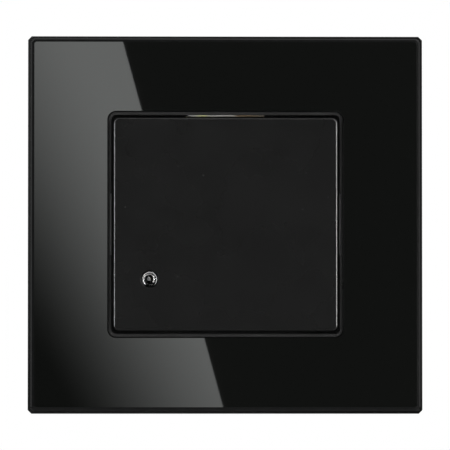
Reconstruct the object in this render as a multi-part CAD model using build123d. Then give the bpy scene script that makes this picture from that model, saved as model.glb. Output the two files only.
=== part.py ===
"""Flush wall switch with a built-in microwave motion sensor, drawn as it hangs on a wall.

The front faces -Y, +Z is up and +X is right as seen by someone who looks at the switch.
The origin is the centre of the wall plane: the strap's turned rim stands on y = 0, the plate and
its cover stand in front of it (-Y), and the electronics box goes into the wall (+Y).
All lengths are millimetres.
"""

from build123d import *
import os

# Decorative plate, as it is measured on the face
plate_width = 86.0
plate_height = 82.3
plate_corner_cut = 0.8
plate_stands_off_wall = 10.0
glass_inset = 0.62
glass_thickness = 3.2
glass_bevel = 0.8
glass_bevel_fall = 0.35
glass_edge_bevel = 0.32
glass_inner_arris = 0.15
adhesive_thickness = 0.3
adhesive_inner_margin = 1.6
adhesive_outer_margin = 2.6

# Square opening of the plate and the cover that fills it
opening_width = 51.15
opening_height = 49.1
opening_radius = 1.75
lip_clearance = 0.05
lip_wall = 0.7
lip_below_glass = 0.35
lip_edge = 0.08
cover_gap_sides = 0.45
cover_gap_top = 0.6
cover_corner_radius = 1.25
cover_proud_of_glass = 0.5
cover_skin = 1.7
cover_skirt_wall = 1.2
cover_edge_round = 0.5
cover_skirt_clearance = 0.2
cover_rib = 1.0
cover_rib_depth = 1.2
cover_rib_spacing = 9.5
cover_hook_width = 4.8
cover_hook_reach = 0.6
cover_hook_length = 1.0
cover_hook_offset = 12.0
lip_relief_length = 13.4
lip_relief_depth = 0.3
lip_relief_drop = 1.8

# Moulded carrier behind the glass
carrier_wall = 1.6
carrier_web = 1.5
carrier_off_wall = 0.3
carrier_rib = 1.0
carrier_rib_height = 2.0
carrier_ribs_per_side = 6
clip_width = 7.0
clip_thickness = 1.4
clip_barb = 0.6
clip_barb_height = 0.8
clip_short_of_wall = 0.6
clip_offset_x = 31.0
clip_offset_z = 18.0
pry_notch_width = 10.0
pry_notch_depth = 1.5

# Steel mounting strap
strap_width = 71.0
strap_sheet = 1.0
strap_rim = 2.6
strap_corner_radius = 4.0
screw_spacing = 60.3
screw_slot_width = 4.2
screw_slot_length = 7.0
clip_window_clearance = 0.7
spring_width = 16.8
spring_sheet = 0.2
spring_foot = 3.4
spring_gap = 0.3
spring_tip_below_cover = 1.4

# Electronics box
box_width = 49.4
box_height = 47.0
box_corner_cut = 7.5
box_wall = 1.6
box_rear_wall = 1.8
box_depth_in_wall = 25.8
box_rear_chamfer = 1.2
box_in_strap_clearance = 0.3
snap_ramp_height = 0.8
snap_ramp_length = 4.0
snap_ramp_width = 8.0
vent_count = 5
vent_width = 1.6
vent_length = 8.0
vent_pitch = 4.0

# Front of the electronics box
flange_overhang = 2.0
flange_thickness = 1.6
flange_radius = 3.0
neck_wall = 1.4
neck_radius = 1.2
neck_height = 4.2
plug_clearance = 0.1
plug_wall = 1.2
plug_depth = 3.6

# Boards
board_clearance = 0.4
sensor_board_thickness = 1.2
sensor_board_gap = 1.6
main_board_thickness = 1.6
main_board_depth = 7.9
boss_radius = 2.2
pilot_radius = 0.95
board_screw_radius = 0.9
board_screw_head_radius = 1.9
board_screw_head = 1.3
board_screw_bite = 2.4
post_radius = 2.0
boss_from_side = 6.9
boss_from_edge = 5.4
post_from_side = 4.2
pilot_clearance = 3.0
post_below_top = 16.0

# Light sensor seen in the lower left of the cover
sensor_x = -16.5
sensor_z = -11.9
sensor_radius = 1.7
sensor_rim_bevel = 0.2
sensor_button_radius = 1.25
sensor_button_height = 0.45
sensor_button_bevel = 0.25
sensor_below_cover = 0.3
sensor_length = 5.0
sensor_hole_radius = 1.9
sensor_hole_chamfer = 0.1
sensor_shroud_wall = 1.2
sensor_shroud_length = 2.4
sensor_spacer_radius = 2.3
lead_clearance = 0.2
sensor_lead = 0.5
sensor_lead_pitch = 1.27

# Three trimmers for delay, light level and range
trimmer_from_side = 8.5
trimmer_middle_z = -1.0
trimmer_pitch = 9.0
trimmer_body = 6.6
trimmer_body_height = 1.5
trimmer_shaft_radius = 1.0
trimmer_shaft_clearance = 0.05
trimmer_knob_radius = 2.1
trimmer_knob_front = 1.0
trimmer_hole_clearance = 0.35
trimmer_slot_width = 0.6
trimmer_slot_depth = 0.8

# Microwave aerial board in the window of the front
aerial_x = -2.0
aerial_z = 4.0
aerial_width = 20.0
aerial_height = 12.0
aerial_thickness = 0.8
aerial_gap = 2.2
aerial_window_margin = 1.6
aerial_chip = 3.0
aerial_chip_height = 0.9
aerial_chip_from_end = 3.0
aerial_chip_from_bottom = 2.6
aerial_header_from_top = 1.6
header_pins = 5
header_pitch = 2.0
header_pin = 0.5
header_body = 2.2
link_x = -8.0
link_above_terminals = 4.3

# Rising cage terminals
terminal_pitch = 9.0
terminal_names = ("live", "neutral", "load")
terminal_gap = 0.2
terminal_length = 11.0
terminal_inset = 0.2
terminal_rear_inset = 0.4
terminal_window_clearance = 0.2
terminal_floor = 1.5
cavity_half_width = 3.3
cavity_depth = 10.0
cavity_end_wall = 2.2
cavity_far_wall = 1.0
wire_bore_radius = 2.1
cage_width = 6.2
cage_height = 6.6
cage_length = 6.0
cage_wall = 1.2
cage_side_wall = 0.9
cage_floor_gap = 0.2
cage_end_gap = 0.5
terminal_screw_radius = 1.45
terminal_screw_clearance = 0.05
terminal_screw_head_radius = 2.1
terminal_screw_head = 1.6
terminal_seat = 1.0
terminal_access_radius = 2.4
terminal_slot_width = 0.7
terminal_slot_depth = 0.9
busbar_width = 3.8
busbar_thickness = 0.8
busbar_leg_width = 2.0
busbar_clamp_gap = 3.0
busbar_end_gap = 0.3

# Layout of the main board, from the terminals up to the relay
part_gap = 0.8
row_above_terminals = 1.0
relay_below_wall = 1.2

# Relay on the main board
relay_length = 18.0
relay_width = 10.0
relay_base = 1.8
relay_height = 14.0
relay_case_wall = 0.8
relay_coil_radius = 2.7
relay_coil_length = 8.6
relay_core_radius = 1.4
relay_flange = 0.6
relay_yoke = 1.0
relay_armature = 0.9
relay_armature_width = 6.0
relay_air_gap = 0.4
relay_contact_radius = 0.8
relay_contact_height = 0.3
relay_contact_gap = 0.5
relay_blade = 0.4

# Other parts on the main board
transformer_width = 13.0
transformer_length = 12.5
transformer_height = 12.0
transformer_core = 3.0
transformer_lift = 0.6
transformer_foot = 1.4
transformer_foot_width = 6.0
fuse_radius = 4.1
fuse_height = 7.7
varistor_radius = 4.2
varistor_thickness = 3.6
varistor_leg_pitch = 5.0
varistor_leg = 0.8
choke_radius = 3.2
choke_height = 8.0
capacitor_radius = 4.0
small_capacitor_radius = 3.15
capacitor_height = 11.5
suppressor_length = 13.0
suppressor_width = 5.0
suppressor_height = 11.0


def on_wall(sketch, front, back):
    """Extrude an X-Z outline from the depth 'front' to the depth 'back' (front is more negative)."""
    return extrude(Plane.XZ.offset(-back) * sketch, amount=back - front)


def clipped(width, height, cut):
    """Rectangle whose four corners are cut off at 45 degrees."""
    return chamfer(Rectangle(width, height).vertices(), cut)


def box_outline(inset):
    """Outline of the electronics box, moved inwards by 'inset' on every side, corner cuts too."""
    corner = box_corner_cut - inset * (2 - 2**0.5)
    return clipped(box_width - 2 * inset, box_height - 2 * inset, corner)


def block(x, y, z):
    """Box between two limits on each axis."""
    size = [limits[1] - limits[0] for limits in (x, y, z)]
    middle = [(limits[0] + limits[1]) / 2 for limits in (x, y, z)]
    return Pos(*middle) * Box(*size)


def about(middle, size):
    """Lower and upper limit of a length 'size' centred on 'middle'."""
    return (middle - size / 2, middle + size / 2)


def disc(radius, x, z, front, back):
    """Cylinder whose axis points into the wall."""
    return on_wall(Pos(x, z) * Circle(radius), front, back)


# Depths, from the front to the back
glass_front = -plate_stands_off_wall
glass_back = glass_front + glass_thickness
carrier_front = glass_back + adhesive_thickness
web_back = carrier_front + carrier_web
carrier_back = -carrier_off_wall
cover_front = glass_front - cover_proud_of_glass
cover_inside = cover_front + cover_skin
strap_front = -strap_rim
strap_back = strap_front + strap_sheet
flange_back = strap_front
flange_front = flange_back - flange_thickness
neck_front = flange_front - neck_height
cover_skirt_end = flange_front - 2 * cover_skirt_clearance
sensor_board_front = flange_back + sensor_board_gap
sensor_board_back = sensor_board_front + sensor_board_thickness
sensor_tip = cover_front + sensor_below_cover
sensor_seat = sensor_tip + sensor_length
main_board_front = main_board_depth
main_board_back = main_board_front + main_board_thickness
box_back = box_depth_in_wall
box_inside_back = box_back - box_rear_wall

# Widths that follow from the opening
lip_outer = (opening_width - 2 * lip_clearance, opening_height - 2 * lip_clearance)
lip_inner = (lip_outer[0] - 2 * lip_wall, lip_outer[1] - 2 * lip_wall)
cover_size = (lip_inner[0] - 2 * cover_gap_sides, lip_inner[1] - 2 * cover_gap_top)
skirt_inner = (cover_size[0] - 2 * cover_skirt_wall, cover_size[1] - 2 * cover_skirt_wall)
neck_outer = (skirt_inner[0] - 2 * cover_skirt_clearance, skirt_inner[1] - 2 * cover_skirt_clearance)
neck_inner = (neck_outer[0] - 2 * neck_wall, neck_outer[1] - 2 * neck_wall)
flange_size = (box_width + 2 * flange_overhang, box_height + 2 * flange_overhang)
strap_opening_inset = -box_in_strap_clearance

# Places that several pieces share
clip_places = [(x * clip_offset_x, z * clip_offset_z) for x in (-1, 1) for z in (-1, 1)]
hook_places = [(x, z * cover_hook_offset) for x in (-1, 1) for z in (-1, 1)]
boss_x = box_width / 2 - boss_from_side
boss_z = box_height / 2 - boss_from_edge
board_screw_places = [(box_corner_cut / 2 - boss_x, boss_z), (boss_x - box_corner_cut, -boss_z)]
post_x = box_width / 2 - post_from_side
post_z = box_height / 2 - box_wall - post_below_top
post_places = [(-post_x, post_z), (post_x, post_z - transformer_length / 2)]
trimmer_x = box_width / 2 - trimmer_from_side
trimmer_places = [(trimmer_x, trimmer_middle_z - i * trimmer_pitch) for i in (-1, 0, 1)]
trimmer_names = ("delay", "light", "range")
terminal_places = [(i - 1) * terminal_pitch for i in range(3)]
spring_z = cover_size[1] / 2 + spring_gap

# Where the parts stand on the main board, as seen from the front
terminal_bottom = -box_height / 2 + terminal_inset
terminal_top = terminal_bottom + terminal_length
parts_left = -(relay_length + part_gap + transformer_width) / 2
parts_top = box_height / 2 - box_wall - relay_below_wall
lower_row_z = terminal_top + row_above_terminals + fuse_radius
upper_row_z = lower_row_z + fuse_radius + part_gap + capacitor_radius
relay_right = parts_left + relay_length
relay_z = parts_top - relay_width / 2
transformer_x = relay_right + part_gap + transformer_width / 2
transformer_z = parts_top - transformer_length / 2
suppressor_z = lower_row_z + choke_radius + part_gap + suppressor_width / 2
capacitor_x = parts_left + capacitor_radius
small_capacitor_x = capacitor_x + capacitor_radius + part_gap + small_capacitor_radius
fuse_x = parts_left + fuse_radius
varistor_x = fuse_x + fuse_radius + 4 * part_gap + varistor_thickness / 2

# Works of the relay: yoke along the board, coil above it, armature at the right end
relay_base_back = main_board_back + relay_base
yoke_front = relay_base_back + 0.1
yoke_back = yoke_front + relay_yoke
coil_flange_radius = relay_coil_radius + relay_flange
coil_y = yoke_back + 0.1 + coil_flange_radius
coil_start = parts_left + relay_case_wall + 0.4 + relay_yoke + 0.2
coil_end = coil_start + 2 * relay_flange + relay_coil_length
core_end = coil_end + 0.4
armature_x = core_end + relay_air_gap
contact_y = coil_y + coil_flange_radius + 0.2 + relay_contact_radius
armature_end = contact_y + relay_contact_radius + 0.2

# Terminals: cage, busbar and screw
cavity_front = main_board_back + terminal_floor
cavity_back = cavity_front + cavity_depth
cage_front = cavity_front + cage_floor_gap
cage_back = cage_front + cage_height
cage_bottom = terminal_bottom + cavity_end_wall + cage_end_gap
cage_top = cage_bottom + cage_length
cage_floor_back = cage_front + cage_wall
busbar_front = cage_floor_back + busbar_clamp_gap
busbar_back = busbar_front + busbar_thickness
busbar_leg_z = (cage_top + busbar_end_gap, cage_top + busbar_end_gap + busbar_thickness)
wire_y = (cage_floor_back + busbar_front) / 2
terminal_screw_z = (cage_bottom + cage_top) / 2
terminal_screw_seat = cavity_back + terminal_seat + 0.05


def glass_panel():
    """Bevelled square of black glass with a rounded square opening."""
    outline = clipped(
        plate_width - 2 * glass_inset, plate_height - 2 * glass_inset, plate_corner_cut
    )
    panel = on_wall(outline, glass_front, glass_back)
    face = panel.faces().sort_by(Axis.Y)[0]
    panel = chamfer(face.edges(), glass_bevel, glass_bevel_fall, reference=face)
    crest = glass_front + glass_bevel_fall
    crest_edges = panel.edges().filter_by_position(Axis.Y, crest - 0.01, crest + 0.01)
    panel = chamfer(crest_edges, glass_edge_bevel)
    opening = RectangleRounded(opening_width, opening_height, opening_radius)
    panel -= on_wall(opening, glass_front - 1, glass_back + 1)
    front = panel.faces().sort_by(Axis.Y)[0]
    return chamfer(front.inner_wires()[0].edges(), glass_inner_arris)


def glass_adhesive():
    """Double-sided foam ring between glass and carrier, cut from sheet with square corners."""
    outer = (plate_width - 2 * adhesive_outer_margin, plate_height - 2 * adhesive_outer_margin)
    inner = (opening_width + 2 * adhesive_inner_margin, opening_height + 2 * adhesive_inner_margin)
    return on_wall(Rectangle(*outer) - Rectangle(*inner), glass_back, carrier_front)


def frame_carrier():
    """Moulded tray that carries the glass, with the inner lip, ribs and four snap clips."""
    tray = on_wall(clipped(plate_width, plate_height, plate_corner_cut), carrier_front, carrier_back)
    hollow = (plate_width - 2 * carrier_wall, plate_height - 2 * carrier_wall)
    tray -= on_wall(RectangleRounded(*hollow, 1.2), web_back, carrier_back + 1)
    lip = RectangleRounded(*lip_outer, opening_radius - lip_clearance)
    tray += on_wall(lip, glass_front + lip_below_glass, web_back)
    rib_back = web_back + carrier_rib_height
    inner_limit = (flange_size[0] / 2 + 1.2, flange_size[1] / 2 + 1.2)
    for i in range(carrier_ribs_per_side):
        place = (i + 0.5) / carrier_ribs_per_side - 0.5
        across = about(place * hollow[0], carrier_rib)
        along = about(place * hollow[1], carrier_rib)
        for side in (-1, 1):
            reach_z = sorted((side * inner_limit[1], side * (hollow[1] / 2 + 0.2)))
            reach_x = sorted((side * inner_limit[0], side * (hollow[0] / 2 + 0.2)))
            tray += block(across, (web_back - 0.2, rib_back), reach_z)
            tray += block(reach_x, (web_back - 0.2, rib_back), along)
    clip_end = -clip_short_of_wall
    for x, z in clip_places:
        side = 1 if x > 0 else -1
        tray += block(about(x, clip_thickness), (web_back - 0.2, clip_end), about(z, clip_width))
        barb_root = x + side * clip_thickness / 2
        barb = [
            (barb_root, clip_end),
            (barb_root, clip_end - clip_barb_height),
            (barb_root + side * clip_barb, clip_end - clip_barb_height),
        ]
        tray += extrude(
            Plane.XY.offset(z - clip_width / 2) * make_face(Polyline(*barb, close=True)),
            amount=clip_width,
        )
    passage_radius = max(0.2, opening_radius - lip_clearance - lip_wall)
    passage = RectangleRounded(*lip_inner, passage_radius)
    tray -= on_wall(passage, glass_front - 1, 1)
    tray = chamfer(tray.faces().sort_by(Axis.Y)[0].edges(), lip_edge)
    relief_y = (glass_front, glass_front + lip_below_glass + lip_relief_drop)
    for side in (-1, 1):
        relief_x = sorted((0, side * (lip_inner[0] / 2 + lip_relief_depth)))
        tray -= block(relief_x, relief_y, about(0, lip_relief_length))
    notch_y = (carrier_back - pry_notch_depth, 1)
    tray -= block(about(0, pry_notch_width), notch_y, (-plate_height, -plate_height / 2 + carrier_wall))
    return tray


def cover_plate():
    """Plain front cover with a rounded edge, a skirt, inner ribs and the hole of the light sensor."""
    skin = on_wall(RectangleRounded(*cover_size, cover_corner_radius), cover_front, cover_skirt_end)
    skin = fillet(skin.faces().sort_by(Axis.Y)[0].edges(), cover_edge_round)
    hollow = RectangleRounded(*skirt_inner, neck_radius)
    skin -= on_wall(hollow, cover_inside, cover_skirt_end + 1)
    rib_y = (cover_inside - 0.2, cover_inside + cover_rib_depth)
    rib_reach = (neck_inner[0] - 1.6, neck_inner[1] - 1.6)
    for i in (-1, 0, 1):
        skin += block(about(i * cover_rib_spacing, cover_rib), rib_y, about(0, rib_reach[1]))
        skin += block(about(0, rib_reach[0]), rib_y, about(i * cover_rib_spacing, cover_rib))
    shroud_end = cover_inside + sensor_shroud_length
    shroud_radius = sensor_hole_radius + sensor_shroud_wall
    skin += disc(shroud_radius, sensor_x, sensor_z, cover_inside - 0.2, shroud_end)
    skin -= disc(sensor_hole_radius, sensor_x, sensor_z, cover_front - 1, shroud_end + 1)
    rim = skin.faces().sort_by(Axis.Y)[0].inner_wires()[0]
    skin = chamfer(rim.edges(), sensor_hole_chamfer)
    hook_y = (cover_skirt_end, cover_skirt_end + 0.0 - cover_hook_length)
    for side, z in hook_places:
        root = side * (skirt_inner[0] / 2 + 0.2)
        tip = side * (skirt_inner[0] / 2 - cover_hook_reach)
        skin += block(sorted((root, tip)), sorted(hook_y), about(z, cover_hook_width))
    return skin


def mounting_strap():
    """Pressed steel strap: flat web, turned rim on the wall, screw slots and clip windows."""
    outline = RectangleRounded(strap_width, strap_width, strap_corner_radius)
    inside = strap_width - 2 * strap_sheet
    strap = on_wall(outline, strap_front, 0)
    strap -= on_wall(
        RectangleRounded(inside, inside, strap_corner_radius - strap_sheet), strap_back, 1
    )
    through = (strap_front - 1, strap_back + 0.5)
    strap -= on_wall(box_outline(strap_opening_inset), *through)
    slot = SlotOverall(screw_slot_length, screw_slot_width)
    for side in (-1, 1):
        strap -= on_wall(Pos(side * screw_spacing / 2, 0) * slot, *through)
        strap -= on_wall(Pos(0, side * screw_spacing / 2) * Rot(0, 0, 90) * slot, *through)
    window_width = clip_thickness + 2 * clip_barb + 2 * clip_window_clearance
    window_height = clip_width + 2 * clip_window_clearance
    for x, z in clip_places:
        strap -= on_wall(Pos(x, z) * Rectangle(window_width, window_height), *through)
    return strap


def cover_spring():
    """Leaf spring in the top gap, held by its foot between strap and flange."""
    tip = cover_front + spring_tip_below_cover
    leaf = block(about(0, spring_width), (tip, strap_front), (spring_z, spring_z + spring_sheet))
    foot_y = (strap_front - spring_sheet, strap_front)
    return leaf + block(about(0, spring_width), foot_y, (spring_z, spring_z + spring_foot))


def module_front():
    """Front of the electronics box: flange, neck for the cover, plug, bosses and windows."""
    front = on_wall(RectangleRounded(*flange_size, flange_radius), flange_front, flange_back)
    neck = RectangleRounded(*neck_outer, neck_radius) - RectangleRounded(*neck_inner, neck_radius / 2)
    front += on_wall(neck, neck_front, flange_front)
    plug_inset = box_wall + plug_clearance
    plug = box_outline(plug_inset) - box_outline(plug_inset + plug_wall)
    front += on_wall(plug, flange_back, flange_back + plug_depth)
    for x, z in board_screw_places:
        front += disc(boss_radius, x, z, flange_back, sensor_board_front)
        front -= disc(pilot_radius, x, z, sensor_board_front - board_screw_bite - 0.2, sensor_board_front)
    through = (flange_front - 1, flange_back + 0.3)
    for x, z in trimmer_places:
        front -= disc(trimmer_knob_radius + trimmer_hole_clearance, x, z, *through)
    front -= disc(sensor_spacer_radius + 0.3, sensor_x, sensor_z, *through)
    window = Rectangle(aerial_width + 2 * aerial_window_margin, aerial_height + 2 * aerial_window_margin)
    front -= on_wall(Pos(aerial_x, aerial_z) * window, *through)
    spring_top = spring_z + spring_sheet + spring_gap
    front -= block(about(0, spring_width + 0.4), (flange_front - 0.5, flange_back + 0.5), (spring_z - 0.15, spring_top))
    pocket_y = (flange_back - spring_sheet, flange_back + 0.5)
    front -= block(about(0, spring_width + 0.4), pocket_y, (spring_z, spring_z + spring_foot + 0.1))
    groove = cover_hook_reach + 0.1
    groove_y = (neck_front - 0.5, flange_front)
    for side, z in hook_places:
        outside = side * (neck_outer[0] / 2 + 0.1)
        floor = side * (skirt_inner[0] / 2 - groove)
        front -= block(sorted((outside, floor)), groove_y, about(z, cover_hook_width + 0.8))
    return front


def module_housing():
    """Deep rear housing with cut corners, vents, snap ramps, board posts and terminal window."""
    housing = on_wall(box_outline(0), flange_back, box_back)
    housing = chamfer(housing.faces().sort_by(Axis.Y)[-1].edges(), box_rear_chamfer)
    housing -= on_wall(box_outline(box_wall), flange_back - 1, box_inside_back)
    pilot_end = main_board_back + board_screw_bite + pilot_clearance
    for x, z in post_places:
        housing += disc(post_radius, x, z, main_board_back, box_inside_back + 0.2)
        housing -= disc(pilot_radius, x, z, main_board_back, pilot_end)
    half_row = 1.5 * terminal_pitch + terminal_window_clearance
    top = terminal_top + terminal_window_clearance
    window_y = (main_board_back - terminal_window_clearance, box_back + 1)
    housing -= block((-half_row, half_row), window_y, (-box_height, top))
    for i in range(vent_count):
        x = (i - (vent_count - 1) / 2) * vent_pitch
        vent_y = about((main_board_back + box_inside_back) / 2, vent_length)
        housing -= block(about(x, vent_width), vent_y, (box_height / 2 - box_wall - 1, box_height))
        z = x + 1.5
        for side in (-1, 1):
            reach = sorted((side * (box_width / 2 - box_wall - 0.2), side * box_width))
            housing -= block(reach, vent_y, about(z, vent_width))
    relief_z = (spring_z - 0.2, box_height)
    housing -= block(about(0, spring_width + 0.4), (flange_back - 1, flange_back + 0.6), relief_z)
    for side in (-1, 1):
        wall = side * box_width / 2
        ramp = [
            (wall - side * 0.1, strap_back),
            (wall + side * snap_ramp_height, strap_back),
            (wall - side * 0.1, strap_back + snap_ramp_length),
        ]
        housing += extrude(
            Plane.XY.offset(-snap_ramp_width / 2) * make_face(Polyline(*ramp, close=True)),
            amount=snap_ramp_width,
        )
    return housing


def sensor_board():
    """Front board that carries trimmers, aerial board and light sensor."""
    inset = box_wall + plug_clearance + plug_wall + board_clearance
    board = on_wall(box_outline(inset), sensor_board_front, sensor_board_back)
    lead_hole = (sensor_lead + lead_clearance, sensor_lead + lead_clearance)
    for x, z in board_screw_places:
        board -= disc(board_screw_radius + 0.2, x, z, sensor_board_front - 1, sensor_board_back + 1)
    for side in (-1, 1):
        hole = Pos(sensor_x + side * sensor_lead_pitch / 2, sensor_z) * Rectangle(*lead_hole)
        board -= on_wall(hole, sensor_board_front - 1, sensor_board_back + 1)
    return board


def main_board():
    """Mains board that carries relay, power supply and terminals."""
    board = on_wall(box_outline(box_wall + board_clearance), main_board_front, main_board_back)
    for x, z in post_places:
        board -= disc(board_screw_radius + 0.2, x, z, main_board_front - 1, main_board_back + 1)
    return board


def cross_screw(x, z, seat, towards_back, bite):
    """Cheese-head screw with a crossed slot; the head rests at the depth 'seat'."""
    head_end = seat - board_screw_head if towards_back else seat + board_screw_head
    tip = seat + bite if towards_back else seat - bite
    screw = disc(board_screw_head_radius, x, z, *sorted((seat, head_end)))
    slot_y = sorted((head_end, head_end + (0.6 if towards_back else -0.6)))
    screw -= block(about(x, 0.5), slot_y, about(z, 2.2))
    screw -= block(about(x, 2.2), slot_y, about(z, 0.5))
    return screw + disc(board_screw_radius, x, z, *sorted((seat, tip)))


def sensor_board_screws():
    """Two screws from behind through the sensor board."""
    bite = sensor_board_thickness + board_screw_bite
    return [cross_screw(x, z, sensor_board_back, False, bite) for x, z in board_screw_places]


def main_board_screws():
    """Two screws from the front through the main board into the housing's posts."""
    bite = main_board_thickness + board_screw_bite
    return [cross_screw(x, z, main_board_front, True, bite) for x, z in post_places]


def photo_sensor():
    """Clear cast light sensor that looks out of the cover: a round button on a wider round body."""
    rim_front = sensor_tip + sensor_button_height
    body = disc(sensor_radius, sensor_x, sensor_z, rim_front, sensor_seat)
    body = chamfer(body.faces().sort_by(Axis.Y)[0].edges(), sensor_rim_bevel)
    button = disc(sensor_button_radius, sensor_x, sensor_z, sensor_tip, rim_front + 0.2)
    return body + chamfer(button.faces().sort_by(Axis.Y)[0].edges(), sensor_button_bevel)


def photo_sensor_leads():
    """Two square wire leads from the light sensor through the board."""
    leads = []
    for side in (-1, 1):
        lead_x = about(sensor_x + side * sensor_lead_pitch / 2, sensor_lead)
        leads.append(block(lead_x, (sensor_seat, sensor_board_back + 1.2), about(sensor_z, sensor_lead)))
    return leads


def sensor_spacer():
    """Black post under the light sensor, with a square way through for each lead."""
    spacer = disc(sensor_spacer_radius, sensor_x, sensor_z, sensor_seat, sensor_board_front)
    for side in (-1, 1):
        way_x = about(sensor_x + side * sensor_lead_pitch / 2, sensor_lead + lead_clearance)
        way_z = about(sensor_z, sensor_lead + lead_clearance)
        spacer -= block(way_x, (sensor_seat - 1, sensor_board_front + 1), way_z)
    return spacer


def trimmer_bodies():
    """Three square trimmer bodies on the sensor board."""
    bodies = []
    for x, z in trimmer_places:
        outline = Rectangle(trimmer_body, trimmer_body) - Circle(trimmer_shaft_radius + trimmer_shaft_clearance)
        front = sensor_board_front - trimmer_body_height
        bodies.append(on_wall(Pos(x, z) * outline, front, sensor_board_front))
    return bodies


def trimmer_rotor(x, z):
    """Rotor with a crossed screwdriver slot and a pointer flat."""
    knob_back = sensor_board_front - trimmer_body_height - 0.05
    knob_front = flange_front - trimmer_knob_front
    knob = disc(trimmer_knob_radius, x, z, knob_front, knob_back)
    slot_y = (knob_front - 0.1, knob_front + trimmer_slot_depth)
    knob -= block(about(x, trimmer_slot_width), slot_y, about(z, 2.8))
    knob -= block(about(x, 2.8), slot_y, about(z, trimmer_slot_width))
    pointer = block(about(x, 0.5), (knob_front - 0.1, knob_front + 0.5), (z + 1.3, z + 3))
    knob -= pointer
    return knob + disc(trimmer_shaft_radius, x, z, knob_back, sensor_board_front - 0.1)


def aerial_board():
    """Small microwave board in the window of the front."""
    back = sensor_board_front - aerial_gap
    return on_wall(Pos(aerial_x, aerial_z) * Rectangle(aerial_width, aerial_height), back - aerial_thickness, back)


def aerial_parts():
    """Oscillator and amplifier packages on the aerial board."""
    back = sensor_board_front - aerial_gap - aerial_thickness
    outline = Rectangle(aerial_chip, aerial_chip)
    chip_x = aerial_width / 2 - aerial_chip_from_end
    chip_z = aerial_z - aerial_height / 2 + aerial_chip_from_bottom
    places = [Pos(aerial_x + side * chip_x, chip_z) for side in (-1, 1)]
    return [on_wall(place * outline, back - aerial_chip_height, back) for place in places]


def aerial_header():
    """Plastic strip and pins between the aerial board and the sensor board."""
    z = aerial_z + aerial_height / 2 - aerial_header_from_top
    strip = Rectangle(header_pins * header_pitch, header_body)
    return on_wall(Pos(aerial_x, z) * strip, sensor_board_front - aerial_gap, sensor_board_front)


def board_link():
    """Row of pins that joins the sensor board to the main board."""
    pins = []
    link_z = about(terminal_top + link_above_terminals, header_pin)
    for i in range(header_pins):
        pin_x = about(link_x + (i - (header_pins - 1) / 2) * header_pitch, header_pin)
        pins.append(block(pin_x, (sensor_board_back, main_board_front), link_z))
    return pins


def terminal_pole(x):
    """Moulded terminal body with a cage cavity, a wire hole below and a screw hole behind."""
    back = box_back - terminal_rear_inset
    width = terminal_pitch - terminal_gap
    pole = block(about(x, width), (main_board_back, back), (terminal_bottom, terminal_top))
    cavity_z = (terminal_bottom + cavity_end_wall, terminal_top - cavity_far_wall)
    pole -= block(about(x, 2 * cavity_half_width), (cavity_front, cavity_back), cavity_z)
    shank_hole = terminal_screw_radius + 0.15
    pole -= disc(shank_hole, x, terminal_screw_z, cavity_back - 0.5, back + 1)
    pole -= disc(terminal_access_radius, x, terminal_screw_z, cavity_back + terminal_seat, back + 1)
    wire_hole = Cylinder(wire_bore_radius, cavity_end_wall + 1)
    pole -= Pos(x, wire_y, terminal_bottom + cavity_end_wall / 2) * wire_hole
    slot_z = (busbar_leg_z[0] - 0.1, busbar_leg_z[1] + 0.1)
    slot_x = about(x, busbar_leg_width + 0.2)
    return pole - block(slot_x, (main_board_back - 1, cavity_front + 0.1), slot_z)


def terminal_cage(x):
    """Brass cage around the busbar; the screw pulls it up and clamps the wire."""
    cage = block(about(x, cage_width), (cage_front, cage_back), (cage_bottom, cage_top))
    window_x = about(x, cage_width - 2 * cage_side_wall)
    window_y = (cage_floor_back, cage_back - cage_wall)
    cage -= block(window_x, window_y, (cage_bottom - 1, cage_top + 1))
    hole = terminal_screw_radius + terminal_screw_clearance
    return cage - disc(hole, x, terminal_screw_z, window_y[1] - 0.2, cage_back + 1)


def terminal_screw(x):
    """Captive slotted screw that turns in place."""
    end = terminal_screw_seat + terminal_screw_head
    head = disc(terminal_screw_head_radius, x, terminal_screw_z, terminal_screw_seat, end)
    slot_z = about(terminal_screw_z, 2 * terminal_screw_head_radius + 1)
    head -= block(about(x, terminal_slot_width), (end - terminal_slot_depth, end + 1), slot_z)
    tip = busbar_back + 0.2
    return head + disc(terminal_screw_radius, x, terminal_screw_z, tip, terminal_screw_seat)


def busbars():
    """Three bent tongues that pass through the cages and stand on the main board."""
    bars = []
    start = terminal_bottom + cavity_end_wall + 0.1
    for x in terminal_places:
        tongue_z = (start, busbar_leg_z[1])
        bar = block(about(x, busbar_width), (busbar_front, busbar_back), tongue_z)
        leg_x = about(x, busbar_leg_width)
        bars.append(bar + block(leg_x, (main_board_back, busbar_front + 0.1), busbar_leg_z))
    return bars


def relay_base_piece():
    """Moulded base of the relay on the main board."""
    depth = (main_board_back, relay_base_back)
    return block((parts_left, relay_right), depth, about(relay_z, relay_width))


def relay_case():
    """Thin cap over the relay's works."""
    back = main_board_back + relay_height
    case = block((parts_left, relay_right), (relay_base_back, back), about(relay_z, relay_width))
    case = chamfer(case.faces().sort_by(Axis.Y)[-1].edges(), 0.5)
    inner_x = (parts_left + relay_case_wall, relay_right - relay_case_wall)
    inner_z = about(relay_z, relay_width - 2 * relay_case_wall)
    return case - block(inner_x, (relay_base_back - 1, back - relay_case_wall), inner_z)


def along_coil(radius, start, end, y):
    """Round bar along X between two limits, at the relay's height."""
    bar = Rot(0, 90, 0) * Cylinder(radius, end - start)
    return Pos((start + end) / 2, y, relay_z) * bar


def relay_coil():
    """Square bobbin flanges with the winding between them, on the core."""
    coil = along_coil(relay_coil_radius, coil_start, coil_end, coil_y)
    square = (about(coil_y, 2 * coil_flange_radius), about(relay_z, 2 * coil_flange_radius))
    coil += block((coil_start, coil_start + relay_flange), *square)
    coil += block((coil_end - relay_flange, coil_end), *square)
    return coil - along_coil(relay_core_radius, coil_start - 1, coil_end + 1, coil_y)


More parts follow.
